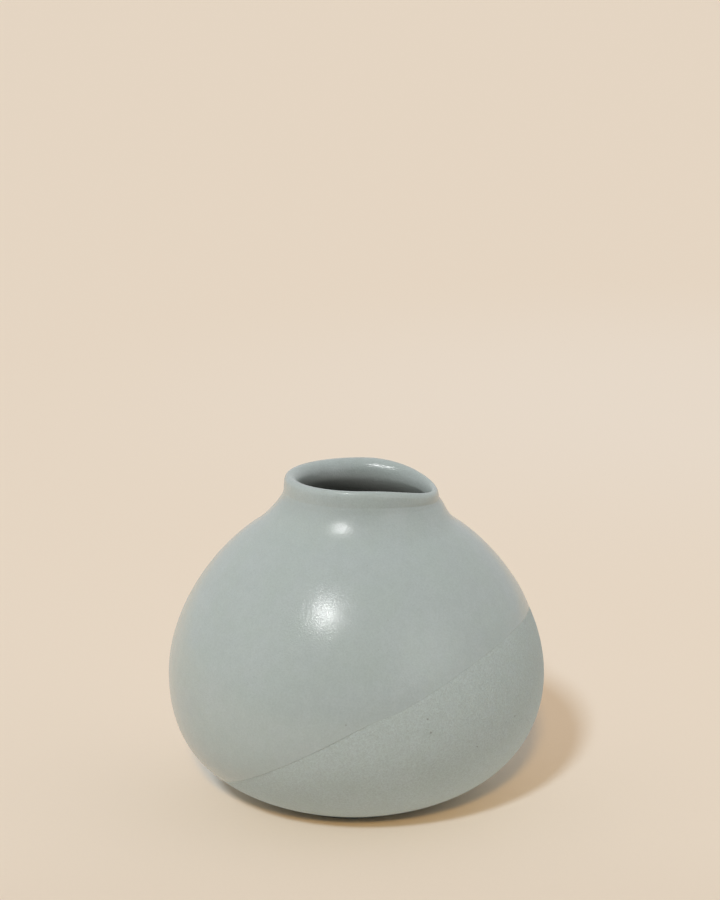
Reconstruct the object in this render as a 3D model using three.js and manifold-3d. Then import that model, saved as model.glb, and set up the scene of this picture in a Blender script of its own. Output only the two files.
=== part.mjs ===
// Bud vase: a thrown clay vessel with a round belly, a short neck and a lip that dips on one side,
// a glaze poured inside it, and an outer glaze put on by dipping the pot at a slant.
// Millimetres, +Z up. It stands on z = 0, and the lip's low side is towards +X.
import * as THREE from "three";
import { mergeVertices } from "three/addons/utils/BufferGeometryUtils.js";
import Module from "manifold-3d";

// Driving dimensions of the clay, before glazing
const overallHeight = 83.5; // table to the top of the lip
const bellyDiameter = 94.3; // the widest ring
const bellyHeight = 33; // of the widest ring above the table
const shoulderDiameter = 51.3; // the ring where the shoulder turns up into the neck
const shoulderSlope = 33.4; // degrees from level at that ring
const neckHeight = 12.9; // from that ring to the top of the lip
const neckDiameter = 38; // outside, below the lip
const lipOuterWidth = 0.75; // from the neck's outside in to the crest of the lip
const lipOuterRise = 1.8; // height over which the outer side rounds in to the crest
const lipInnerWidth = 1.25; // from the crest in to the mouth
const lipInnerFall = 2.4; // height over which the inner side rounds down into the mouth
const footDiameter = 36.6; // the ring that it stands on
const footBevel = 0.9; // height of the foot's trimmed edge
const footFlare = 0.5; // how far that edge leans out
const footSlope = 15; // degrees from level where the belly leaves the foot

// How full each curve of the outline is at its two ends, as a share of the run it covers
const footFullness = 0.66;
const bellyFullnessBelow = 0.53;
const bellyFullnessAbove = 0.39;
const shoulderFullness = 0.62;
const neckFullnessBelow = 1;
const neckFullnessAbove = 0.28;

// Wall thicknesses, which change evenly from one named ring to the next
const baseWall = 4.6;
const bellyWall = 3.6;
const shoulderWall = 2.8;
const footRingWidth = 4.2;
const footRecess = 1.2; // depth of the hollow inside the foot ring

// What the hand did to the round shape
const rimDip = 3.5; // how far the lip sinks at its low side
const rimDipReach = 8.3; // height below the crest over which the sinking dies out
const rimDipFocus = 2.4; // power of the cosine: higher keeps the dip closer to its low side
const neckDrift = 0.85; // sideways lean of the neck, towards +X
const neckDriftRise = 9.5; // height above the shoulder ring at which the lean is complete
const footDrift = -0.75; // sideways lean of the foot

// Glaze coats
const glazeThickness = 0.2;
const glazeBond = 0.05; // clearance between a coat and the clay under it
const coatJoint = 0.1; // clearance between the two coats, inside the lip
const dipHeight = 25.9; // of the glaze line's plane where it crosses the vase's axis
const dipTilt = 29.1; // degrees of that plane from level
const dipTurn = -12.7; // degrees from +X towards +Y of the way that it climbs

// Facets
const sides = 48;
const bellyRings = 7;
const neckRings = 4;
const lipRings = 3; // on each side of the crest

const wasm = await Module();
wasm.setup();

const radians = THREE.MathUtils.degToRad;
const point = (radius, height) => new THREE.Vector2(radius, height);

// A point further along a direction that is given in degrees from level, outwards.
function along(from, degrees, distance) {
  const turn = radians(degrees);
  return point(from.x + distance * Math.cos(turn), from.y + distance * Math.sin(turn));
}

// The clay's outline as radius and height, in three curves that meet at the belly and the shoulder
const shoulderHeight = overallHeight - neckHeight;
const foot = point(footDiameter / 2, 0);
const footTop = point(footDiameter / 2 + footFlare, footBevel);
const belly = point(bellyDiameter / 2, bellyHeight);
const shoulder = point(shoulderDiameter / 2, shoulderHeight);
const neck = point(neckDiameter / 2, overallHeight - lipOuterRise);
const lipThickness = lipOuterWidth + lipInnerWidth;
const inward = 180 - shoulderSlope;
const up = 90;

const lowerBelly = new THREE.CubicBezierCurve(
  footTop,
  along(footTop, footSlope, footFullness * (belly.x - footTop.x)),
  along(belly, up, -bellyFullnessBelow * (belly.y - footTop.y)),
  belly,
);
const upperBelly = new THREE.CubicBezierCurve(
  belly,
  along(belly, up, bellyFullnessAbove * (shoulder.y - belly.y)),
  along(shoulder, inward, -shoulderFullness * (belly.x - shoulder.x)),
  shoulder,
);
const neckCurve = new THREE.CubicBezierCurve(
  shoulder,
  along(shoulder, inward, neckFullnessBelow * (shoulder.x - neck.x)),
  along(neck, up, -neckFullnessAbove * (neck.y - shoulder.y)),
  neck,
);

// Points of a curve without its last one, and the same points moved into the wall. The wall's
// thickness runs from one value to the other along the curve.
function wallStretch(curve, rings, wallStart, wallEnd) {
  const stretch = [];
  for (let ring = 0; ring < rings; ring++) {
    const share = ring / rings;
    const tangent = curve.getTangentAt(share);
    const outer = curve.getPointAt(share);
    const wall = THREE.MathUtils.lerp(wallStart, wallEnd, share);
    const inner = point(outer.x - tangent.y * wall, outer.y + tangent.x * wall);
    stretch.push({ outer, inner });
  }
  return stretch;
}

const wall = [
  ...wallStretch(lowerBelly, bellyRings, baseWall, bellyWall),
  ...wallStretch(upperBelly, bellyRings, bellyWall, shoulderWall),
  ...wallStretch(neckCurve, neckRings, shoulderWall, lipThickness),
];

// Over the lip: a quarter of an ellipse up its outer side to the crest, and one down its inner side
const lip = [];
for (let step = 0; step <= 2 * lipRings; step++) {
  const turn = radians((90 * step) / lipRings);
  const outer = step <= lipRings;
  const width = outer ? lipOuterWidth : lipInnerWidth;
  const height = outer ? lipOuterRise : lipInnerFall;
  const crest = neck.x - lipOuterWidth;
  lip.push(point(crest + width * Math.cos(turn), overallHeight - height * (1 - Math.sin(turn))));
}

const outside = [...wall.map((ring) => ring.outer), ...lip];
const inside = wall.map((ring) => ring.inner).reverse();
const floorCentre = point(0, wall[0].inner.y);

// The same line moved to its left by a distance, with its ends moved square to themselves
function offset(line, distance) {
  return line.map((here, index) => {
    const before = line[Math.max(index - 1, 0)];
    const after = line[Math.min(index + 1, line.length - 1)];
    const back = here.clone().sub(before).normalize();
    const ahead = after.clone().sub(here).normalize();
    const way = back.add(ahead).normalize();
    const left = point(-way.y, way.x);
    // a corner is moved further, so that both of its sides keep the distance
    const edge = index > 0 ? here.clone().sub(before) : after.clone().sub(here);
    const mitre = Math.abs(edge.normalize().dot(way));
    return here.clone().addScaledVector(left, distance / mitre);
  });
}

// Turns a closed outline round the vase's axis, then gives it the lean and the dip of the lip
function thrown(outline) {
  const geometry = new THREE.LatheGeometry(outline, sides);
  geometry.rotateX(Math.PI / 2);
  geometry.deleteAttribute("normal");
  geometry.deleteAttribute("uv");
  const position = geometry.getAttribute("position");
  for (let index = 0; index < position.count; index++) {
    const x = position.getX(index);
    const y = position.getY(index);
    const z = position.getZ(index);
    const lipShare = THREE.MathUtils.smoothstep(z, overallHeight - rimDipReach, overallHeight);
    const neckShare = THREE.MathUtils.smoothstep(z, shoulderHeight, shoulderHeight + neckDriftRise);
    const footShare = 1 - THREE.MathUtils.smoothstep(z, 0, bellyHeight);
    const radius = Math.hypot(x, y);
    const lowSide = radius > 0 ? Math.max(x / radius, 0) : 0;
    position.setX(index, x + neckDrift * neckShare + footDrift * footShare);
    position.setZ(index, z - rimDip * lowSide ** rimDipFocus * lipShare);
  }
  return mergeVertices(geometry);
}

function solidFrom(geometry) {
  return new wasm.Manifold(
    new wasm.Mesh({
      numProp: 3,
      vertProperties: new Float32Array(geometry.getAttribute("position").array),
      triVerts: new Uint32Array(geometry.index.array),
    }),
  );
}

function geometryFrom(solid) {
  const mesh = solid.getMesh();
  const geometry = new THREE.BufferGeometry();
  geometry.setAttribute("position", new THREE.BufferAttribute(mesh.vertProperties, 3));
  geometry.setIndex(new THREE.BufferAttribute(mesh.triVerts, 1));
  return geometry;
}

// Clay: up the outside, over the lip, down the inside, and back along the foot
function clayBody() {
  const recessRadius = footDiameter / 2 - footRingWidth;
  const recessWall = recessRadius - footRecess;
  return thrown([
    point(0, footRecess),
    point(recessWall, footRecess),
    point(recessRadius, 0),
    foot,
    ...outside,
    ...inside,
    floorCentre,
  ]);
}

// Everything below the slanted plane where the dipped glaze ended
function belowGlazeLine() {
  const reach = 2 * (bellyDiameter + overallHeight);
  const block = new THREE.BoxGeometry(reach, reach, reach);
  block.deleteAttribute("normal");
  block.deleteAttribute("uv");
  block.translate(0, 0, -reach / 2);
  block.rotateY(-radians(dipTilt));
  block.rotateZ(radians(dipTurn));
  block.translate(0, 0, dipHeight);
  return mergeVertices(block);
}

// Outer glaze: a coat from the foot over the lip, cut off along the glaze line
function dipGlaze() {
  const under = offset(outside, -glazeBond);
  const surface = offset(outside, -glazeBond - glazeThickness);
  const coat = thrown([...surface, ...under.reverse(), surface[0]]);
  return geometryFrom(solidFrom(coat).subtract(solidFrom(belowGlazeLine())));
}

// Inner glaze: a coat from just below the lip down to the middle of the floor
function linerGlaze() {
  const lipEnd = lip[lip.length - 1];
  const line = [point(lipEnd.x, lipEnd.y - coatJoint), ...inside, floorCentre];
  const onAxis = (coat) => {
    coat[coat.length - 1].x = 0;
    return coat;
  };
  const under = onAxis(offset(line, -glazeBond));
  const surface = onAxis(offset(line, -glazeBond - glazeThickness));
  return thrown([...under.reverse(), ...surface]);
}

function piece(name, geometry, color, roughness) {
  const material = new THREE.MeshStandardMaterial({ color, roughness, metalness: 0 });
  const mesh = new THREE.Mesh(geometry, material);
  mesh.name = name;
  return mesh;
}

const vase = new THREE.Group();
vase.add(piece("clay_body", clayBody(), 0x9ca198, 0.85));
vase.add(piece("dip_glaze", dipGlaze(), 0xa6aca8, 0.35));
vase.add(piece("liner_glaze", linerGlaze(), 0xa3a9a5, 0.35));

export default vase;
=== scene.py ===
import math
import bpy
import numpy as np
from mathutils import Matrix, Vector


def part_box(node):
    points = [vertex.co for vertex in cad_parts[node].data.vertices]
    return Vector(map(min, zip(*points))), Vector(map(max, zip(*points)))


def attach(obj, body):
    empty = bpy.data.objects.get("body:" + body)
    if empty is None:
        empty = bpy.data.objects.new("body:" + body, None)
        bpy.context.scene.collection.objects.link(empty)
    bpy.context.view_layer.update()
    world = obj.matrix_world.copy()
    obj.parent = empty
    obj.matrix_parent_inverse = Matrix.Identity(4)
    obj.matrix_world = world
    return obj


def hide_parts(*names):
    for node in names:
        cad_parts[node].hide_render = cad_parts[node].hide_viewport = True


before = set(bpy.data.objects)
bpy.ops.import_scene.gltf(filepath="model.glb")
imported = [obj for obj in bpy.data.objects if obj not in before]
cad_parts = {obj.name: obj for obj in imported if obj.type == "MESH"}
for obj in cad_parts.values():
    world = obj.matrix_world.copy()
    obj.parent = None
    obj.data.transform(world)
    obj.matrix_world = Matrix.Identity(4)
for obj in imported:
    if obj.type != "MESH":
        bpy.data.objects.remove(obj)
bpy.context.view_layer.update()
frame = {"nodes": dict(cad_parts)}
print("frame loaded:", ", ".join(frame["nodes"]))

mm = 0.001  # the sizes below are in millimetres, and Blender works in metres


# the clay's outline, with its height and width read from the frame

clayLow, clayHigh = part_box("clay_body")

outline = {
    "overallHeight": clayHigh.z / mm,
    "bellyDiameter": (clayHigh.x - clayLow.x) / mm,
    "bellyHeight": 33,
    "shoulderDiameter": 51.3,
    "shoulderSlope": 33.4,  # degrees from level
    "neckHeight": 12.9,
    "neckDiameter": 38,
    "lipOuterWidth": 0.95,  # the lip tapers in from the neck, and rounds over to its crest
    "lipOuterRise": 3.6,
    "lipBevel": 0.4,
    "lipBevelRise": 1.2,
    "lipInnerWidth": 1.2,  # and from the crest down into the mouth
    "lipInnerFall": 4.5,
    "lipToWall": 0.5,  # from there down to the first ring of the wall's inside
    "lipRoll": 0.1,  # a faint step left below the lip by the fingers
    "lipRollDrop": 4.2,
    "lipRollRun": 1.5,
    "footDiameter": 36.6,
    "footBevel": 0.9,
    "footFlare": 0.5,
    "footSlope": 15,  # degrees from level
    "footFullness": 0.66,  # fullness: share of the run that a curve's handle covers
    "bellyFullnessBelow": 0.53,
    "bellyFullnessAbove": 0.39,
    "shoulderFullness": 0.62,
    "neckFullnessBelow": 0.68,
    "neckFullnessAbove": 0.12,
    "baseWall": 4.6,
    "bellyWall": 3.6,
    "shoulderWall": 2.8,
    "footRingWidth": 4.2,
    "footRecess": 1.2,
    "footRounding": 0.45,
}

crestRadius = outline["neckDiameter"] / 2 - outline["lipOuterWidth"]
rings = {"belly": 62, "neck": 34, "lip": 12, "floor": 16}  # points in each stretch of the outline

# what the hand did to the round shape
handShape = {
    "Lip Swell": 1.3 * mm,  # the lip is thicker inside, all but its low side
    "Lip Swell Reach": 18 * mm,
    "Mouth Flare": 0.6,  # how fast the wall opens out below the lip
    "Lip Inner Width": outline["lipInnerWidth"] * mm,
    "Lip Inner Fall": outline["lipInnerFall"] * mm,
    "Crest Radius": crestRadius * mm,
    "Rim Dip": 3.5 * mm,
    "Rim Dip Reach": 8.3 * mm,
    "Rim Dip Focus": 2.15,
    "Neck Drift": 1.15 * mm,
    "Neck Drift Rise": 9.5 * mm,
    "Foot Drift": -0.75 * mm,
    "Mouth Oval": 0.6 * mm,  # the mouth is a little longer from front to back
    "Unevenness": 0.1 * mm,
    "Shoulder Height": (outline["overallHeight"] - outline["neckHeight"]) * mm,
    "Overall Height": outline["overallHeight"] * mm,
    "Belly Height": outline["bellyHeight"] * mm,
}
swellFade = (0.9, 0.3)  # how far round to the low side the lip's swelling ends, and where it is full

# slow swellings left by the fingers, longer round the pot than up it
fingerMarks = Vector((14, 14, 42))
fingerMarksStart = (1 * mm, 12 * mm)  # heights over which they begin


def bezier(start, startHandle, endHandle, end, count):
    share = np.linspace(0, 1, count, endpoint=False)[:, None]
    rest = 1 - share
    return (rest**3 * start + 3 * rest**2 * share * startHandle
            + 3 * rest * share**2 * endHandle + share**3 * end)


def heading(degrees):
    return np.array([math.cos(math.radians(degrees)), math.sin(math.radians(degrees))])


def ease(value, low, high):
    share = np.clip((value - low) / (high - low), 0, 1)
    return share * share * (3 - 2 * share)


def outwardOf(line):
    # unit normals to the right of the way that a line runs
    way = np.gradient(line, axis=0)
    way /= np.linalg.norm(way, axis=1)[:, None]
    return np.column_stack([way[:, 1], -way[:, 0]])


def runOf(line):
    # distance along a line, from its start
    return np.concatenate([[0], np.cumsum(np.linalg.norm(np.diff(line, axis=0), axis=1))])


def rounded(corners, radius, count=7):
    # a line with its inner corners rounded off
    line = [corners[0]]
    share = np.linspace(0, 1, count)[:, None]
    for before, corner, after in zip(corners, corners[1:], corners[2:]):
        start = corner + (before - corner) / np.linalg.norm(before - corner) * radius
        end = corner + (after - corner) / np.linalg.norm(after - corner) * radius
        line.extend((1 - share)**2 * start + 2 * (1 - share) * share * corner + share**2 * end)
    line.append(corners[-1])
    return np.array(line)


def drawOutline(sizes):
    # the outside from the foot over the lip into the mouth, and the inside from there to the floor
    foot = np.array([sizes["footDiameter"] / 2 + sizes["footFlare"], sizes["footBevel"]])
    belly = np.array([sizes["bellyDiameter"] / 2, sizes["bellyHeight"]])
    shoulder = np.array([sizes["shoulderDiameter"] / 2, sizes["overallHeight"] - sizes["neckHeight"]])
    neck = np.array([sizes["neckDiameter"] / 2, sizes["overallHeight"] - sizes["lipOuterRise"]])
    up = heading(90)
    inward = heading(180 - sizes["shoulderSlope"])
    footHandle = foot + heading(sizes["footSlope"]) * sizes["footFullness"] * (belly[0] - foot[0])
    bellyBelow = belly - up * sizes["bellyFullnessBelow"] * (belly[1] - foot[1])
    bellyAbove = belly + up * sizes["bellyFullnessAbove"] * (shoulder[1] - belly[1])
    shoulderBelow = shoulder - inward * sizes["shoulderFullness"] * (belly[0] - shoulder[0])
    shoulderAbove = shoulder + inward * sizes["neckFullnessBelow"] * (shoulder[0] - neck[0])
    neckHandle = neck - up * sizes["neckFullnessAbove"] * (neck[1] - shoulder[1])
    wallCurve = np.vstack([
        bezier(foot, footHandle, bellyBelow, belly, rings["belly"]),
        bezier(belly, bellyAbove, shoulderBelow, shoulder, rings["belly"]),
        bezier(shoulder, shoulderAbove, neckHandle, neck, rings["neck"]),
    ])

    crest = np.array([neck[0] - sizes["lipOuterWidth"], sizes["overallHeight"]])
    taper = sizes["lipOuterWidth"] - sizes["lipBevel"]
    quarter = [heading(turn) for turn in np.linspace(0, 90, rings["lip"])]
    outerLip = []
    for across, rise in quarter:
        drop = (1 - rise) * sizes["lipOuterRise"]
        level = max(1 - drop / sizes["lipBevelRise"], 0)
        bevel = sizes["lipBevel"] * math.sqrt(1 - level**2)
        outerLip.append(crest + (across * taper + bevel, -drop))
    innerLip = []
    for across, rise in quarter[1:]:
        innerLip.append(crest + (-rise * sizes["lipInnerWidth"], (across - 1) * sizes["lipInnerFall"]))

    knots = [0, rings["belly"], 2 * rings["belly"], len(wallCurve)]
    lipThickness = sizes["lipOuterWidth"] + sizes["lipInnerWidth"]
    walls = [sizes["baseWall"], sizes["bellyWall"], sizes["shoulderWall"], lipThickness]
    wall = np.interp(np.arange(len(wallCurve)), knots, walls)
    inner = (wallCurve - outwardOf(wallCurve) * wall[:, None])[::-1]
    inner = inner[inner[:, 1] < innerLip[-1][1] - sizes["lipToWall"]]
    outer = np.vstack([wallCurve, outerLip])
    rollTop = sizes["overallHeight"] - sizes["lipRollDrop"]
    outer[:, 0] += sizes["lipRoll"] * ease(outer[:, 1], rollTop - sizes["lipRollRun"], rollTop)
    return np.vstack([outer, innerLip]), inner


outside, inside = drawOutline(outline)
floorCentre = np.array([0, inside[-1][1]])
floorRings = np.linspace(inside[-1], floorCentre, rings["floor"])[1:]


# node tree helpers

def feed(tree, socket, value):
    if isinstance(value, bpy.types.NodeSocket):
        tree.links.new(value, socket)
    elif value is not None:
        socket.default_value = value


def addNode(tree, kind, inputs=None, **settings):
    node = tree.nodes.new(kind)
    for key, value in settings.items():
        setattr(node, key, value)
    for name, value in (inputs or {}).items():
        feed(tree, node.inputs[name], value)
    return node


def calc(tree, operation, first, second=None):
    return addNode(tree, "ShaderNodeMath", {0: first, 1: second}, operation=operation).outputs[0]


def vector(tree, operation, first, second):
    return addNode(tree, "ShaderNodeVectorMath", {0: first, 1: second}, operation=operation).outputs


def scaled(tree, value, factor):
    node = addNode(tree, "ShaderNodeVectorMath", {0: value, "Scale": factor}, operation="SCALE")
    return node.outputs[0]


def ramp(tree, value, low, high, toLow=0.0, toHigh=1.0, smooth=True):
    # a value taken from one range to another
    node = addNode(tree, "ShaderNodeMapRange", {"Value": value, "From Min": low, "From Max": high,
                                                "To Min": toLow, "To Max": toHigh})
    node.interpolation_type = "SMOOTHSTEP" if smooth else "LINEAR"
    return node.outputs["Result"]


def newTree(name, kind, inputs, outputs):
    tree = bpy.data.node_groups.new(name, kind)
    for label, socketType, value in inputs:
        socket = tree.interface.new_socket(label, in_out="INPUT", socket_type=socketType)
        if value is not None:
            socket.default_value = value
    for label, socketType in outputs:
        tree.interface.new_socket(label, in_out="OUTPUT", socket_type=socketType)
    source = tree.nodes.new("NodeGroupInput")
    sink = tree.nodes.new("NodeGroupOutput")
    return tree, source.outputs, sink.inputs


# geometry nodes: a line turned on the wheel, and the shaping by hand that every piece shares

def makeShapeByHand():
    sizes = [(name, "NodeSocketFloat", value) for name, value in handShape.items()]
    tree, given, out = newTree("shapeByHand", "GeometryNodeTree",
                               [("Geometry", "NodeSocketGeometry", None)] + sizes,
                               [("Geometry", "NodeSocketGeometry")])
    place = addNode(tree, "GeometryNodeInputPosition").outputs[0]
    axes = addNode(tree, "ShaderNodeSeparateXYZ", {0: place}).outputs
    shoulder = given["Shoulder Height"]
    dipStart = calc(tree, "SUBTRACT", given["Overall Height"], given["Rim Dip Reach"])
    lipShare = ramp(tree, axes["Z"], dipStart, given["Overall Height"])
    neckShare = ramp(tree, axes["Z"], shoulder, calc(tree, "ADD", shoulder, given["Neck Drift Rise"]))
    footShare = ramp(tree, axes["Z"], 0.0, given["Belly Height"], 1.0, 0.0)
    radius = calc(tree, "SQRT", calc(tree, "ADD", calc(tree, "POWER", axes["X"], 2.0),
                                     calc(tree, "POWER", axes["Y"], 2.0)))
    outX = calc(tree, "DIVIDE", axes["X"], radius)
    outY = calc(tree, "DIVIDE", axes["Y"], radius)
    facing = calc(tree, "POWER", calc(tree, "MAXIMUM", outX, 0.0), given["Rim Dip Focus"])
    drop = calc(tree, "MULTIPLY", calc(tree, "MULTIPLY", facing, lipShare), given["Rim Dip"])
    lean = calc(tree, "ADD", calc(tree, "MULTIPLY", neckShare, given["Neck Drift"]),
                calc(tree, "MULTIPLY", footShare, given["Foot Drift"]))
    oval = calc(tree, "MULTIPLY", lipShare, given["Mouth Oval"])
    stretched = vector(tree, "MULTIPLY", place, fingerMarks)[0]
    noise = addNode(tree, "ShaderNodeTexNoise", {"Vector": stretched, "Scale": 1.0, "Detail": 1.0})
    swell = calc(tree, "MULTIPLY", calc(tree, "SUBTRACT", noise.outputs[0], 0.5), given["Unevenness"])
    swell = calc(tree, "MULTIPLY", swell, ramp(tree, axes["Z"], *fingerMarksStart))
    # the lip's inner side stands further in, and so does the wall for some way below it
    mouth = calc(tree, "SUBTRACT", given["Crest Radius"], given["Lip Inner Width"])
    lipLow = calc(tree, "SUBTRACT", given["Overall Height"], given["Lip Swell Reach"])
    lipHigh = calc(tree, "SUBTRACT", given["Overall Height"], given["Lip Inner Fall"])
    below = calc(tree, "MAXIMUM", calc(tree, "SUBTRACT", lipHigh, axes["Z"]), 0.0)
    evened = calc(tree, "SUBTRACT", radius, calc(tree, "MULTIPLY", below, given["Mouth Flare"]))
    inner = calc(tree, "MULTIPLY", ramp(tree, evened, given["Crest Radius"], mouth, smooth=False),
                 ramp(tree, axes["Z"], lipLow, lipHigh))
    inner = calc(tree, "MULTIPLY", inner, ramp(tree, outX, *swellFade))
    swell = calc(tree, "SUBTRACT", swell, calc(tree, "MULTIPLY", inner, given["Lip Swell"]))
    move = addNode(tree, "ShaderNodeCombineXYZ", {
        "X": calc(tree, "ADD", lean, calc(tree, "MULTIPLY", outX, swell)),
        "Y": calc(tree, "MULTIPLY", outY, calc(tree, "ADD", swell, oval)),
        "Z": calc(tree, "MULTIPLY", drop, -1.0),
    })
    shaped = addNode(tree, "GeometryNodeSetPosition", {"Geometry": given["Geometry"],
                                                       "Offset": move.outputs[0]})
    feed(tree, out["Geometry"], shaped.outputs[0])
    return tree


seamWidth = 0.001 * mm  # points closer than this are one, where a turn closes on itself


def makeThrowOnWheel():
    tree, given, out = newTree("throwOnWheel", "GeometryNodeTree",
                               [("Outline", "NodeSocketObject", None), ("Rings", "NodeSocketInt", 2),
                                ("Sides", "NodeSocketInt", 3)],
                               [("Geometry", "NodeSocketGeometry")])
    line = addNode(tree, "GeometryNodeObjectInfo", {"Object": given["Outline"]}).outputs["Geometry"]
    columns = calc(tree, "ADD", given["Sides"], 1.0)
    grid = addNode(tree, "GeometryNodeMeshGrid", {"Vertices X": columns, "Vertices Y": given["Rings"]})
    index = addNode(tree, "GeometryNodeInputIndex").outputs[0]
    # the grid is numbered side by side, and half a point keeps the division from falling short
    ring = calc(tree, "MODULO", index, given["Rings"])
    side = calc(tree, "FLOOR", calc(tree, "DIVIDE", calc(tree, "ADD", index, 0.5), given["Rings"]))
    turn = calc(tree, "DIVIDE", calc(tree, "MULTIPLY", side, 2 * math.pi), given["Sides"])
    sample = addNode(tree, "GeometryNodeSampleIndex", data_type="FLOAT_VECTOR", domain="POINT")
    feed(tree, sample.inputs["Geometry"], line)
    feed(tree, sample.inputs["Value"], addNode(tree, "GeometryNodeInputPosition").outputs[0])
    feed(tree, sample.inputs["Index"], ring)
    spot = addNode(tree, "ShaderNodeSeparateXYZ", {0: sample.outputs["Value"]}).outputs
    turned = addNode(tree, "ShaderNodeCombineXYZ", {
        "X": calc(tree, "MULTIPLY", spot["X"], calc(tree, "COSINE", turn)),
        "Y": calc(tree, "MULTIPLY", spot["X"], calc(tree, "SINE", turn)),
        "Z": spot["Z"],
    })
    placed = addNode(tree, "GeometryNodeSetPosition", {"Geometry": grid.outputs["Mesh"],
                                                       "Position": turned.outputs[0]})
    closed = addNode(tree, "GeometryNodeMergeByDistance", {"Geometry": placed.outputs[0],
                                                           "Distance": seamWidth})
    feed(tree, out["Geometry"], closed.outputs[0])
    return tree


shapeByHand = makeShapeByHand()
throwOnWheel = makeThrowOnWheel()


def makePotTree(name, onWheel):
    # the tree of one piece: thrown from an outline, or the piece's own mesh, then shaped and painted
    inputs = [("Geometry", "NodeSocketGeometry", None), ("Material", "NodeSocketMaterial", None),
              ("Inside Radius", "NodeSocketFloat", 0.0)]
    inputs += [(label, "NodeSocketFloat", value) for label, value in handShape.items()]
    if onWheel:
        inputs += [("Outline", "NodeSocketObject", None), ("Rings", "NodeSocketInt", 2),
                   ("Sides", "NodeSocketInt", 3)]
    tree, given, out = newTree(name, "GeometryNodeTree", inputs, [("Geometry", "NodeSocketGeometry")])
    body = given["Geometry"]
    if onWheel:
        thrown = addNode(tree, "GeometryNodeGroup", node_tree=throwOnWheel)
        for label in ("Outline", "Rings", "Sides"):
            feed(tree, thrown.inputs[label], given[label])
        body = thrown.outputs[0]
    # depth below the lip's crest, for what lies inside the mouth, which the glazes' painted shade reads
    place = addNode(tree, "GeometryNodeInputPosition").outputs[0]
    axes = addNode(tree, "ShaderNodeSeparateXYZ", {0: place}).outputs
    flat = addNode(tree, "ShaderNodeCombineXYZ", {"X": axes["X"], "Y": axes["Y"]}).outputs[0]
    radius = addNode(tree, "ShaderNodeVectorMath", {0: flat}, operation="LENGTH").outputs["Value"]
    isInside = calc(tree, "LESS_THAN", radius, given["Inside Radius"])
    depth = calc(tree, "MULTIPLY", calc(tree, "SUBTRACT", given["Overall Height"], axes["Z"]), isInside)
    marked = addNode(tree, "GeometryNodeStoreNamedAttribute",
                     {"Geometry": body, "Name": "depth", "Value": depth},
                     data_type="FLOAT", domain="POINT")
    shaped = addNode(tree, "GeometryNodeGroup", node_tree=shapeByHand)
    feed(tree, shaped.inputs["Geometry"], marked.outputs[0])
    for label in handShape:
        feed(tree, shaped.inputs[label], given[label])
    smooth = addNode(tree, "GeometryNodeSetShadeSmooth", {"Geometry": shaped.outputs[0]})
    real = addNode(tree, "GeometryNodeRealizeInstances", {"Geometry": smooth.outputs[0]})
    painted = addNode(tree, "GeometryNodeSetMaterial", {"Geometry": real.outputs[0],
                                                        "Material": given["Material"]})
    feed(tree, out["Geometry"], painted.outputs[0])
    return tree


def newPiece(name, mesh=None):
    piece = bpy.data.objects.new(name, mesh or bpy.data.meshes.new(name))
    bpy.context.collection.objects.link(piece)
    return piece


def finishNodes(piece, tree, values):
    # runs the tree on the piece and keeps the plain mesh that it makes
    modifier = piece.modifiers.new("pot", "NODES")
    modifier.node_group = tree
    inputs = [item for item in tree.interface.items_tree if item.in_out == "INPUT"]
    sockets = {item.name: item.identifier for item in inputs}
    for label, value in values.items():
        modifier[sockets[label]] = value
    graph = bpy.context.evaluated_depsgraph_get()
    mesh = bpy.data.meshes.new_from_object(piece.evaluated_get(graph))
    piece.modifiers.remove(modifier)
    piece.data = mesh
    return piece


def throwPiece(name, line, sides, material, insideRadius=0.0):
    # the outline is a chain of points in the XZ plane, which the wheel turns
    mesh = bpy.data.meshes.new(name + "_line")
    points = [(radius * mm, 0, height * mm) for radius, height in line]
    mesh.from_pydata(points, [(i, i + 1) for i in range(len(points) - 1)], [])
    guide = newPiece(name + "_line", mesh)
    values = {**handShape, "Material": material, "Inside Radius": insideRadius}
    values.update({"Outline": guide, "Rings": len(line), "Sides": sides})
    piece = finishNodes(newPiece(name), makePotTree(name, True), values)
    bpy.data.objects.remove(guide)
    return piece


# shader node groups that the clay and both glazes share

# specks that show in the firing: turn round the pot from +X in degrees, height and size
darkSpecks = [
    (-85, 67.9, 0.30), (-79, 57.1, 0.36), (-83, 50.9, 0.30), (-88, 47.7, 0.24), (-124, 44.5, 0.34),
    (-93, 34.0, 0.36), (-69, 34.4, 0.30), (-68, 30.9, 0.34), (-35, 29.6, 0.36), (-51, 24.9, 0.30),
    (140, 52.0, 0.34), (95, 40.0, 0.30), (60, 58.0, 0.30), (25, 36.0, 0.34), (175, 30.0, 0.30),
]
paleSpecks = [
    (-49, 35.4, 0.34), (-44, 46.2, 0.28), (-83, 21.9, 0.30), (-110, 48.3, 0.26), (100, 22.0, 0.32),
]
speckShape = {
    "core": 0.3,  # share of its size over which a speck is full
    "raggedness": 0.1 * mm,  # a fine noise frays its edge
    "raggedScale": 2600.0,
    "raggedRange": (0.2, 0.8),
}


def placeOnPot(turn, height):
    side = outside[:-2 * rings["lip"]]
    radius = np.interp(height, side[:, 1], side[:, 0])
    lean = handShape["Foot Drift"] / mm * (1 - ease(height, 0, outline["bellyHeight"]))
    x, y = heading(turn) * radius
    return Vector((x + lean, y, height)) * mm


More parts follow.
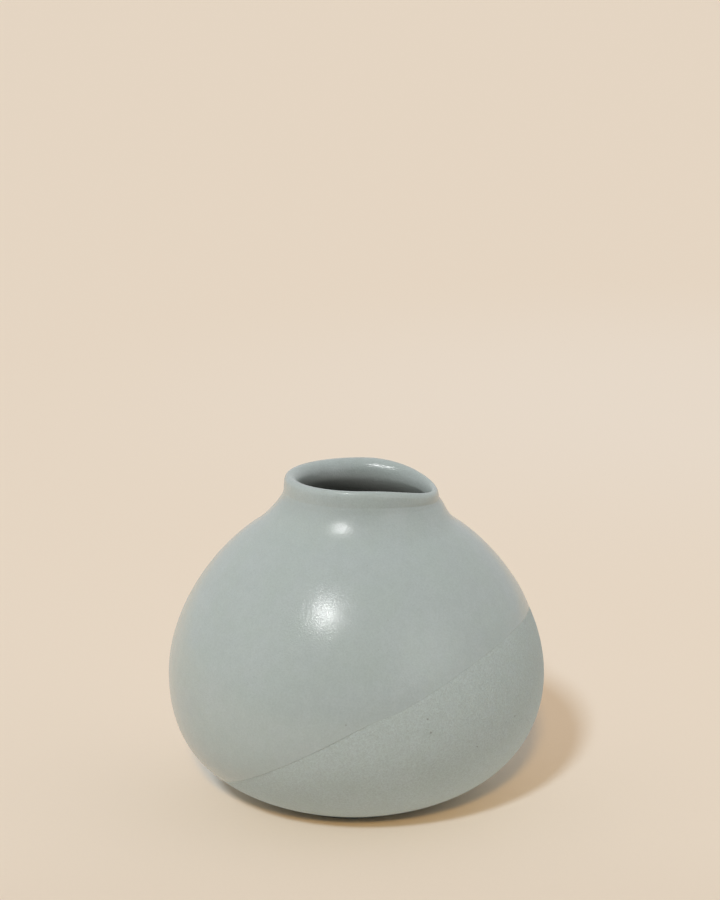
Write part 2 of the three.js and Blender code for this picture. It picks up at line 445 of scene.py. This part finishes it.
def makeFiringSpecks():
    tree, given, out = newTree("firingSpecks", "ShaderNodeTree", [("Vector", "NodeSocketVector", None)],
                               [("Dark", "NodeSocketFloat"), ("Pale", "NodeSocketFloat")])
    noise = addNode(tree, "ShaderNodeTexNoise", {"Vector": given["Vector"], "Detail": 1.0,
                                                 "Scale": speckShape["raggedScale"]})
    fray = speckShape["raggedness"]
    ragged = ramp(tree, noise.outputs[0], *speckShape["raggedRange"], -fray, fray, False)
    for label, specks in (("Dark", darkSpecks), ("Pale", paleSpecks)):
        mask = None
        for turn, height, size in specks:
            away = vector(tree, "DISTANCE", given["Vector"], placeOnPot(turn, height))["Value"]
            core = speckShape["core"] * size * mm
            dot = ramp(tree, calc(tree, "ADD", away, ragged), core, size * mm, 1.0, 0.0)
            mask = dot if mask is None else calc(tree, "MAXIMUM", mask, dot)
        feed(tree, out[label], mask)
    return tree


# slow drifts of tone over the pot, with a finer cloud on top and a drift of hue of its own
mottleShape = {
    "slowShare": 0.7,
    "fineShare": 0.55,
    "fineness": 14.0,  # of the cloud, as a multiple of the slow scale
    "toneRange": (0.425, 0.825),
    "hueFineness": 4.0,
    "hueRange": (0.35, 0.65),
    "hueShift": Vector((0.7, 0.3, 0.9)),
}


def makeKilnMottle():
    tree, given, out = newTree("kilnMottle", "ShaderNodeTree",
                               [("Vector", "NodeSocketVector", None),
                                ("Scale", "NodeSocketFloat", 30.0)],
                               [("Tone", "NodeSocketFloat"), ("Hue", "NodeSocketFloat")])
    slow = addNode(tree, "ShaderNodeTexNoise", {"Vector": given["Vector"], "Scale": given["Scale"],
                                                "Detail": 3.0})
    fine = addNode(tree, "ShaderNodeTexNoise", {"Vector": given["Vector"], "Detail": 2.0})
    feed(tree, fine.inputs["Scale"], calc(tree, "MULTIPLY", given["Scale"], mottleShape["fineness"]))
    both = calc(tree, "ADD", calc(tree, "MULTIPLY", slow.outputs[0], mottleShape["slowShare"]),
                calc(tree, "MULTIPLY", fine.outputs[0], mottleShape["fineShare"]))
    feed(tree, out["Tone"], ramp(tree, both, *mottleShape["toneRange"], smooth=False))
    moved = vector(tree, "ADD", given["Vector"], mottleShape["hueShift"])[0]
    hue = addNode(tree, "ShaderNodeTexNoise", {"Vector": moved, "Detail": 2.0})
    feed(tree, hue.inputs["Scale"], calc(tree, "MULTIPLY", given["Scale"], mottleShape["hueFineness"]))
    feed(tree, out["Hue"], ramp(tree, hue.outputs[0], *mottleShape["hueRange"]))
    return tree


def makeSurfaceGrain():
    # fine relief: a coarse ripple and a finer one
    tree, given, out = newTree("surfaceGrain", "ShaderNodeTree",
                               [("Vector", "NodeSocketVector", None),
                                ("Scale", "NodeSocketFloat", 2100.0),
                                ("Fineness", "NodeSocketFloat", 2.0),
                                ("Fine Share", "NodeSocketFloat", 0.4)],
                               [("Height", "NodeSocketFloat")])
    coarse = addNode(tree, "ShaderNodeTexNoise", {"Vector": given["Vector"], "Scale": given["Scale"],
                                                  "Detail": 1.0})
    fine = addNode(tree, "ShaderNodeTexNoise", {"Vector": given["Vector"], "Detail": 1.0})
    feed(tree, fine.inputs["Scale"], calc(tree, "MULTIPLY", given["Scale"], given["Fineness"]))
    mix = addNode(tree, "ShaderNodeMix", {"Factor": given["Fine Share"], "A": coarse.outputs[0],
                                          "B": fine.outputs[0]})
    feed(tree, out["Height"], mix.outputs["Result"])
    return tree


firingSpecks = makeFiringSpecks()
kilnMottle = makeKilnMottle()
surfaceGrain = makeSurfaceGrain()
print("node groups built")


def blendColour(tree, factor, first, second):
    # the mix node has sockets of one name for each kind of value, so its colour sockets go by number
    node = addNode(tree, "ShaderNodeMix", data_type="RGBA")
    feed(tree, node.inputs["Factor"], factor)
    feed(tree, node.inputs[6], first)
    feed(tree, node.inputs[7], second)
    return node.outputs[2]


pitRange = (0.35, 0.65)  # heights of the grain over which the pits darken


def makeSurface(name, look):
    # one fired surface: mottled colour, specks, and a fine relief that breaks up the shine; the glazes
    # also get painted shade in the neck's hollow and inside the mouth
    material = bpy.data.materials.new(name)
    material.use_nodes = True
    tree = material.node_tree
    shader = tree.nodes["Principled BSDF"]
    place = addNode(tree, "ShaderNodeTexCoord").outputs["Object"]
    mottle = addNode(tree, "ShaderNodeGroup", node_tree=kilnMottle)
    feed(tree, mottle.inputs["Vector"], place)
    feed(tree, mottle.inputs["Scale"], look["mottleScale"])
    colour = blendColour(tree, mottle.outputs["Tone"], look["darkTone"], look["lightTone"])
    drift = calc(tree, "MULTIPLY", mottle.outputs["Hue"], look["driftShare"])
    colour = blendColour(tree, drift, colour, look["driftTone"])
    grain = addNode(tree, "ShaderNodeGroup", node_tree=surfaceGrain)
    feed(tree, grain.inputs["Vector"], place)
    for label in ("Scale", "Fineness", "Fine Share"):
        feed(tree, grain.inputs[label], look["grain"][label])
    pits = ramp(tree, grain.outputs["Height"], *pitRange, look["grain"]["darkening"], 0.0, False)
    colour = blendColour(tree, pits, colour, look["pitTone"])
    if "paintedMouthShadeTone" in look:
        axes = addNode(tree, "ShaderNodeSeparateXYZ", {"Vector": place}).outputs
        # painted shade: a darker band round the hollow of the neck, under the lip
        paintedNeckShade = ramp(tree, axes["Z"], *look["paintedNeckShadeRise"], 0.0, look["paintedNeckShadeShare"])
        paintedNeckShade = calc(tree, "MULTIPLY", paintedNeckShade, ramp(tree, axes["Z"], *look["paintedNeckShadeEnd"], 1.0, 0.0))
        colour = blendColour(tree, paintedNeckShade, colour, look["paintedNeckShadeTone"])
        # painted shade: darker with depth inside the mouth, and sooner on the left of it
        depth = addNode(tree, "ShaderNodeAttribute", attribute_name="depth").outputs["Fac"]
        lean = calc(tree, "SUBTRACT", 1.0, calc(tree, "MULTIPLY", axes["X"], look["paintedMouthShadeLean"]))
        paintedMouthShade = ramp(tree, calc(tree, "MULTIPLY", depth, lean), *look["paintedMouthShadeReach"])
        colour = blendColour(tree, paintedMouthShade, colour, look["paintedMouthShadeTone"])
    specks = addNode(tree, "ShaderNodeGroup", node_tree=firingSpecks)
    feed(tree, specks.inputs["Vector"], place)
    for label in ("Dark", "Pale"):
        tone, strength = look["specks"][label]
        mask = calc(tree, "MULTIPLY", specks.outputs[label], strength)
        colour = blendColour(tree, mask, colour, tone)
    feed(tree, shader.inputs["Base Color"], colour)
    bump = addNode(tree, "ShaderNodeBump", {"Height": grain.outputs["Height"], "Strength": 1.0,
                                            "Distance": look["grain"]["depth"]})
    feed(tree, shader.inputs["Normal"], bump.outputs[0])
    rough = ramp(tree, mottle.outputs["Tone"], 0.0, 1.0, *look["roughness"], smooth=False)
    feed(tree, shader.inputs["Roughness"], rough)
    shader.inputs["Specular IOR Level"].default_value = look["specular"]
    return material


glazeLook = {
    "lightTone": (0.490, 0.546, 0.528, 1),
    "darkTone": (0.449, 0.502, 0.482, 1),
    "driftTone": (0.453, 0.524, 0.475, 1),  # a greener cast that comes and goes
    "driftShare": 0.35,
    "pitTone": (0.30, 0.33, 0.31, 1),
    "paintedMouthShadeTone": (0.26, 0.268, 0.246, 1),  # painted shade: it goes darker with depth inside the mouth
    "paintedMouthShadeReach": (0.6 * mm, 6.4 * mm),
    "paintedMouthShadeLean": 26.0,  # the painted shade comes sooner on the left of the mouth than on the right, per metre from the axis
    "paintedNeckShadeTone": (0.36, 0.405, 0.385, 1),  # painted shade in the hollow of the neck, under the lip
    "paintedNeckShadeShare": 0.3,
    "paintedNeckShadeRise": (74.4 * mm, 77.8 * mm),
    "paintedNeckShadeEnd": (78.7 * mm, 80.3 * mm),
    "mottleScale": 26.0,
    "grain": {"Scale": 2100.0, "Fineness": 1.9, "Fine Share": 0.42, "depth": 0.062 * mm,
              "darkening": 0.25},
    "specks": {"Dark": ((0.16, 0.15, 0.12, 1), 0.6), "Pale": ((0.55, 0.57, 0.53, 1), 0.35)},
    "roughness": (0.182, 0.222),
    "specular": 0.5,
}

clayLook = {
    "lightTone": (0.541, 0.608, 0.588, 1),
    "darkTone": (0.491, 0.555, 0.529, 1),
    "driftTone": (0.499, 0.575, 0.526, 1),
    "driftShare": 0.35,
    "pitTone": (0.27, 0.28, 0.25, 1),
    "mottleScale": 60.0,
    "grain": {"Scale": 2100.0, "Fineness": 2.0, "Fine Share": 0.4, "depth": 0.14 * mm,
              "darkening": 0.31},
    "specks": {"Dark": ((0.13, 0.12, 0.10, 1), 0.55), "Pale": ((0.62, 0.64, 0.60, 1), 0.5)},
    "roughness": (0.62, 0.74),
    "specular": 0.4,
}

linerLook = {**glazeLook, "mottleScale": 34.0}

glazeSurface = makeSurface("satinGlaze", glazeLook)
claySurface = makeSurface("bareClay", clayLook)
linerSurface = makeSurface("linerGlaze", linerLook)


# the clay vessel

clay = {"sides": 216, "centreRings": 10}


def claySection():
    recess = outline["footRecess"]
    ringOuter = outline["footDiameter"] / 2
    ringInner = ringOuter - outline["footRingWidth"]
    corners = np.array([
        [0, recess],
        [ringInner - recess, recess],
        [ringInner, 0],
        [ringOuter, 0],
        outside[0],
        outside[1],
    ])
    base = rounded(corners, outline["footRounding"])
    centre = np.linspace(base[0], base[1], clay["centreRings"])[:-1]
    return np.vstack([centre, base[1:-1], outside[1:], inside, floorRings])


clayPiece = throwPiece("clay_vessel", claySection(), clay["sides"], claySurface)
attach(clayPiece, "root")
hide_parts("clay_body")
print("clay vessel:", len(clayPiece.data.polygons), "faces")


# the liner glaze, a thin cup inside the clay, which starts under the end of the dipped coat

liner = {
    "thickness": 0.22,
    "startThickness": 0.18,
    "sunk": 0.04,  # the underside lies in the clay
    "startsAbove": 5,  # rings above the lip's inner end
    "overlap": 4.5,  # run over which the two coats cross
    "sides": 176,
}


def linerSection():
    wall = np.vstack([outside[-liner["startsAbove"]:], inside, floorRings])
    outward = outwardOf(wall)
    run = runOf(wall)
    thin = liner["startThickness"]
    lift = thin + (liner["thickness"] - thin) * ease(run, 0, liner["overlap"])
    surface = wall + outward * lift[:, None]
    under = wall - outward * liner["sunk"]
    surface[-1, 0] = 0
    under[-1, 0] = 0
    return np.vstack([under[::-1][::2], surface])


# all of it counts as inside the mouth
linerPiece = throwPiece("liner_coat", linerSection(), liner["sides"], linerSurface,
                        insideRadius=outline["bellyDiameter"] * mm)
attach(linerPiece, "root")
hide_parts("liner_glaze")
print("liner glaze:", len(linerPiece.data.polygons), "faces")


# the dipped glaze: from the slanted line up over the lip, and a little way into the mouth

dip = {
    "height": 25.9,  # of the line's plane on the vase's axis
    "tilt": 29.1,  # degrees from level
    "turn": -12.7,  # degrees from +X of the way that the plane climbs
    "waver": 0.1,  # how far the line strays from the plane
    "waves": ((3, 0.7, 0.5), (7, 2.1, 0.3), (17, 4.0, 0.2)),  # times round the pot, phase and share
    "stepHeight": 0.65,  # the line drops a little where two dips met
    "stepTurn": -81.5,  # this, its width and its reach are in degrees round the pot
    "stepWidth": 4,
    "stepReach": 28,
    "searchShare": 0.8,  # the line is looked for on this much of the outside
    "searchSteps": 6000,
    "thickness": 0.22,
    "edgeThickness": 0.11,  # the coat thins out towards the line
    "thinShare": 0.3,  # and far more so past the step
    "thickEnds": (-180, -20),  # degrees from the step over which its edge grows thick
    "edgeStray": 0.3,  # the edge's thickness comes and goes along the line
    "edgeWaves": ((23, 0), (9, 1.3)),  # times round the pot and phase
    "edgeReach": 5,
    "edgeRound": 0.3,
    "endThickness": 0.18,  # and inside the mouth, where it meets the liner
    "endReach": 4.5,
    "intoMouth": 4,  # rings below the lip's inner end
    "sunk": 0.04,
    "sides": 352,
    "edgeRings": 14,
    "edgeRun": 1.4,
    "edgeCrowding": 1.6,  # they lie closer towards the line
    "bodyRings": 112,
    "underRings": 36,
}


def fromStep(turns):
    # degrees round the pot from the step in the line
    return (np.degrees(turns) - dip["stepTurn"] + 180) % 360 - 180


def dipLineRun(turns):
    # for each side of the pot, how far up the outside the glaze line lies
    run = runOf(outside)
    fineRun = np.linspace(0, run[-1] * dip["searchShare"], dip["searchSteps"])
    radius = np.interp(fineRun, run, outside[:, 0])[:, None]
    height = np.interp(fineRun, run, outside[:, 1])[:, None]
    lean = handShape["Foot Drift"] / mm * (1 - ease(height, 0, outline["bellyHeight"]))
    x = radius * np.cos(turns) + lean
    y = radius * np.sin(turns)
    waves = [np.sin(times * turns + phase) * share for times, phase, share in dip["waves"]]
    waver = dip["waver"] * sum(waves)
    past = fromStep(turns)
    fade = np.exp(-(past / dip["stepReach"])**2)
    waver -= dip["stepHeight"] * np.tanh(past / dip["stepWidth"]) * fade
    climb = heading(dip["turn"]) * math.tan(math.radians(dip["tilt"]))
    plane = dip["height"] + waver + x * climb[0] + y * climb[1]
    return fineRun[np.argmax(height > plane, axis=0)]


def dipCoatMesh():
    line = np.vstack([outside, inside[:dip["intoMouth"]]])
    run = runOf(line)
    normals = outwardOf(line)
    turns = np.linspace(0, 2 * math.pi, dip["sides"], endpoint=False)
    edge = dipLineRun(turns)
    shoulder = outline["overallHeight"] - outline["neckHeight"]
    fixedRings = run[np.argmax(line[:, 1] > shoulder):]
    share = np.linspace(0, 1, dip["edgeRings"], endpoint=False)[:, None]
    nearEdge = edge + dip["edgeRun"] * share**dip["edgeCrowding"]
    share = np.linspace(0, 1, dip["bodyRings"], endpoint=False)[:, None]
    body = edge + dip["edgeRun"] + (fixedRings[0] - edge - dip["edgeRun"]) * share
    over = np.vstack([nearEdge, body, np.repeat(fixedRings[:, None], dip["sides"], axis=1)])
    share = np.linspace(0, 1, dip["underRings"] + 1)[:-1, None]
    under = run[-1] + (edge - run[-1]) * share

    # height of the coat above the clay, rounded off at its edge
    away = over - edge
    past = fromStep(turns)
    beforeStep = 0.5 - 0.5 * np.tanh((past + dip["stepWidth"]) / dip["stepWidth"])
    thickShare = beforeStep * ease(past, *dip["thickEnds"])
    edgeFull = dip["edgeThickness"] * (dip["thinShare"] + (1 - dip["thinShare"]) * thickShare)
    stray = dip["edgeStray"]
    for times, phase in dip["edgeWaves"]:
        stray = stray * np.sin(times * turns + phase)
    edgeFull = edgeFull * (1 + stray)
    full = edgeFull + (dip["thickness"] - edgeFull) * ease(away, 0, dip["edgeReach"])
    full -= (dip["thickness"] - dip["endThickness"]) * ease(over, run[-1] - dip["endReach"], run[-1])
    bend = np.clip(away / dip["edgeRound"], 0, 1)
    lift = (full + dip["sunk"]) * np.sqrt(1 - (1 - bend)**2) - dip["sunk"]

    rows = np.vstack([over, under])
    lift = np.vstack([lift, np.full(under.shape, -dip["sunk"])])
    radius = np.interp(rows, run, line[:, 0]) + lift * np.interp(rows, run, normals[:, 0])
    level = np.interp(rows, run, line[:, 1]) + lift * np.interp(rows, run, normals[:, 1])
    points = np.stack([radius * np.cos(turns), radius * np.sin(turns), level], axis=-1) * mm
    count, sides = rows.shape
    here = np.arange(count * sides).reshape(count, sides)
    beside = np.roll(here, -1, axis=1)
    faces = np.stack([here, beside, np.roll(beside, -1, axis=0), np.roll(here, -1, axis=0)], axis=-1)
    mesh = bpy.data.meshes.new("dip_coat")
    mesh.from_pydata(points.reshape(-1, 3).tolist(), [], faces.reshape(-1, 4).tolist())
    return mesh


dipPiece = finishNodes(newPiece("dip_coat", dipCoatMesh()), makePotTree("dip_coat", False),
                       {**handShape, "Material": glazeSurface, "Inside Radius": crestRadius * mm})
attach(dipPiece, "root")
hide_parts("dip_glaze")
print("dipped glaze:", len(dipPiece.data.polygons), "faces")


# the stage: a wide sheet of pale paper, which fills the camera's view; places on it are in metres

paper = {
    "colour": (0.80, 0.685, 0.555, 1),
    "paintedLightColour": (0.812, 0.712, 0.598, 1),  # painted light: paler behind the vase, where the light falls fullest
    "paintedLightCentre": Vector((0.16, 0.5, 0)),
    "paintedLightReach": (0.05, 0.35),
    "paintedFalloffColour": (0.745, 0.632, 0.505, 1),  # painted falloff of the light towards the camera
    "paintedFalloffReach": (-0.13, -0.02),
    "grainScale": 900.0,
    "grainRange": (0.3, 0.7),
    "grain": 0.005,
    "bounceColour": (0.775, 0.72, 0.655, 1),  # what it throws back on the vase
    "frontEdge": -0.16,  # past this line the glaze mirrors the dark front of the room, not the paper
    "frontBlur": 0.01,
    "frontColour": (0.04, 0.04, 0.04, 1),
    "roughness": 0.9,
    "specular": 0.2,
    "reach": 12.0,
}


def paperToneWithPaintedLight(tree, axes, place):
    # the sheet's own colour and a fine grain, with the slow fall of light over it painted in as colour
    away = vector(tree, "DISTANCE", place, paper["paintedLightCentre"])["Value"]
    paintedLight = ramp(tree, away, *paper["paintedLightReach"], 1.0, 0.0)
    paintedFalloff = ramp(tree, axes["Y"], *paper["paintedFalloffReach"], 1.0, 0.0)
    tone = blendColour(tree, paintedLight, paper["colour"], paper["paintedLightColour"])
    tone = blendColour(tree, paintedFalloff, tone, paper["paintedFalloffColour"])
    noise = addNode(tree, "ShaderNodeTexNoise", {"Vector": place, "Scale": paper["grainScale"],
                                                 "Detail": 3.0})
    depth = paper["grain"]
    grain = ramp(tree, noise.outputs[0], *paper["grainRange"], 1 - depth, 1 + depth, False)
    return scaled(tree, tone, grain)


def makePaper():
    reach = paper["reach"]
    mesh = bpy.data.meshes.new("paper")
    corners = [(-reach, -reach, 0), (reach, -reach, 0), (reach, reach, 0), (-reach, reach, 0)]
    mesh.from_pydata(corners, [], [(0, 1, 2, 3)])
    material = bpy.data.materials.new("paper")
    material.use_nodes = True
    tree = material.node_tree
    shader = tree.nodes["Principled BSDF"]
    place = addNode(tree, "ShaderNodeTexCoord").outputs["Object"]
    axes = addNode(tree, "ShaderNodeSeparateXYZ", {0: place}).outputs
    rays = addNode(tree, "ShaderNodeLightPath").outputs
    seen = calc(tree, "MAXIMUM", rays["Is Camera Ray"], rays["Is Glossy Ray"])
    colour = blendColour(tree, seen, paper["bounceColour"], paperToneWithPaintedLight(tree, axes, place))
    edge = paper["frontEdge"]
    onSheet = ramp(tree, axes["Y"], edge - paper["frontBlur"], edge + paper["frontBlur"])
    hidden = calc(tree, "MULTIPLY", rays["Is Glossy Ray"], calc(tree, "SUBTRACT", 1.0, onSheet))
    colour = blendColour(tree, hidden, colour, paper["frontColour"])
    feed(tree, shader.inputs["Base Color"], colour)
    shader.inputs["Roughness"].default_value = paper["roughness"]
    shader.inputs["Specular IOR Level"].default_value = paper["specular"]
    mesh.materials.append(material)
    sheet = newPiece("paper", mesh)
    return sheet


paperSheet = makePaper()

scene = bpy.context.scene
scene.view_settings.view_transform = "Standard"

# soft light of the room, from each side of the vase
room = {
    "left": (0.62, 0.62, 0.62),
    "right": (0.78, 0.78, 0.78),
    "front": (0.02, 0.02, 0.02),
    "back": (0.65, 0.65, 0.65),
    "above": (0.43, 0.43, 0.43),
    "below": (0.53, 0.53, 0.53),
}


def makeRoom():
    world = bpy.data.worlds.new("room")
    world.use_nodes = True
    tree = world.node_tree
    way = addNode(tree, "ShaderNodeTexCoord").outputs["Generated"]
    axes = addNode(tree, "ShaderNodeSeparateXYZ", {0: way}).outputs
    total = None
    for side, axis, sign in (("left", "X", -1), ("right", "X", 1), ("front", "Y", -1), ("back", "Y", 1),
                             ("below", "Z", -1), ("above", "Z", 1)):
        share = calc(tree, "MAXIMUM", calc(tree, "MULTIPLY", axes[axis], float(sign)), 0.0)
        part = scaled(tree, room[side], calc(tree, "POWER", share, 2.0))
        total = part if total is None else vector(tree, "ADD", total, part)[0]
    feed(tree, tree.nodes["Background"].inputs["Color"], total)
    scene.world = world


makeRoom()

# lamps: azimuth and elevation are seen from the vase, with azimuth 0 towards the camera, and spread is
# how wide the lamp looks from there, all in degrees; the card's distance and size are in metres; the
# soft box lights the vase, the panes and the card show only in its shine, and the last two lamps light
# only the paper
lamps = {
    "softBox": {"azimuth": -30.5, "elevation": 52.5, "spread": 17, "power": 1.6, "colour": (1, 1, 1),
                "lights": "vase", "rays": "diffuse"},
    "leftPane": {"azimuth": -34.4, "elevation": 53.6, "spread": 3, "power": 0.41, "colour": (1, 1, 1),
                 "lights": "vase", "rays": "glossy"},
    "rightPane": {"azimuth": -27.2, "elevation": 53.6, "spread": 3, "power": 0.41, "colour": (1, 1, 1),
                  "lights": "vase", "rays": "glossy"},
    "whiteCard": {"azimuth": 47, "elevation": 23, "away": 1.0, "size": (0.6, 0.66), "power": 0.8,
                  "colour": (1, 1, 1), "lights": "vase", "rays": "glossy"},
    "windowLamp": {"azimuth": -16.8, "elevation": 36.5, "spread": 6, "power": 2.3,
                   "colour": (0.607, 0.788, 1), "lights": "paper", "rays": "diffuse"},
    "paperFill": {"azimuth": -2.7, "elevation": 29.3, "spread": 5, "power": 1.62,
                  "colour": (1, 0.655, 0.27), "lights": "paper", "rays": "diffuse"},
}

litBy = {"vase": bpy.data.collections.new("vaseLit"), "paper": bpy.data.collections.new("paperLit")}
for piece in (clayPiece, linerPiece, dipPiece):
    litBy["vase"].objects.link(piece)
litBy["paper"].objects.link(paperSheet)


def addLamp(name, look):
    isCard = "size" in look
    data = bpy.data.lights.new(name, "AREA" if isCard else "SUN")
    data.energy = look["power"]
    data.color = look["colour"]
    lamp = bpy.data.objects.new(name, data)
    turn = math.radians(look["azimuth"])
    climb = math.radians(look["elevation"])
    way = Vector((math.sin(turn) * math.cos(climb), -math.cos(turn) * math.cos(climb), math.sin(climb)))
    lamp.rotation_euler = way.to_track_quat("Z", "Y").to_euler()
    if isCard:
        data.shape = "RECTANGLE"
        data.size, data.size_y = look["size"]
        lamp.location = way * look["away"] + Vector((0, 0, outline["bellyHeight"] * mm))
        lamp.visible_camera = False
    else:
        data.angle = math.radians(look["spread"])
    lamp.light_linking.receiver_collection = litBy[look["lights"]]
    lamp.visible_diffuse = look["rays"] == "diffuse"
    lamp.visible_glossy = look["rays"] == "glossy"
    bpy.context.collection.objects.link(lamp)


for lampName, lampLook in lamps.items():
    addLamp(lampName, lampLook)

# the camera stands in front of the vase, a little above it, and looks slightly down; its place is in
# millimetres, its pitch in degrees
view = {"aside": 0.81, "back": 669.4, "height": 240.2, "pitch": 12.66, "lens": 110.7}

cameraData = bpy.data.cameras.new("camera")
cameraData.lens = view["lens"]
camera = bpy.data.objects.new("camera", cameraData)
camera.location = Vector((view["aside"], -view["back"], view["height"])) * mm
camera.rotation_euler = (math.radians(90 - view["pitch"]), 0, 0)
bpy.context.collection.objects.link(camera)
scene.camera = camera
print("stage, lamps and camera set")
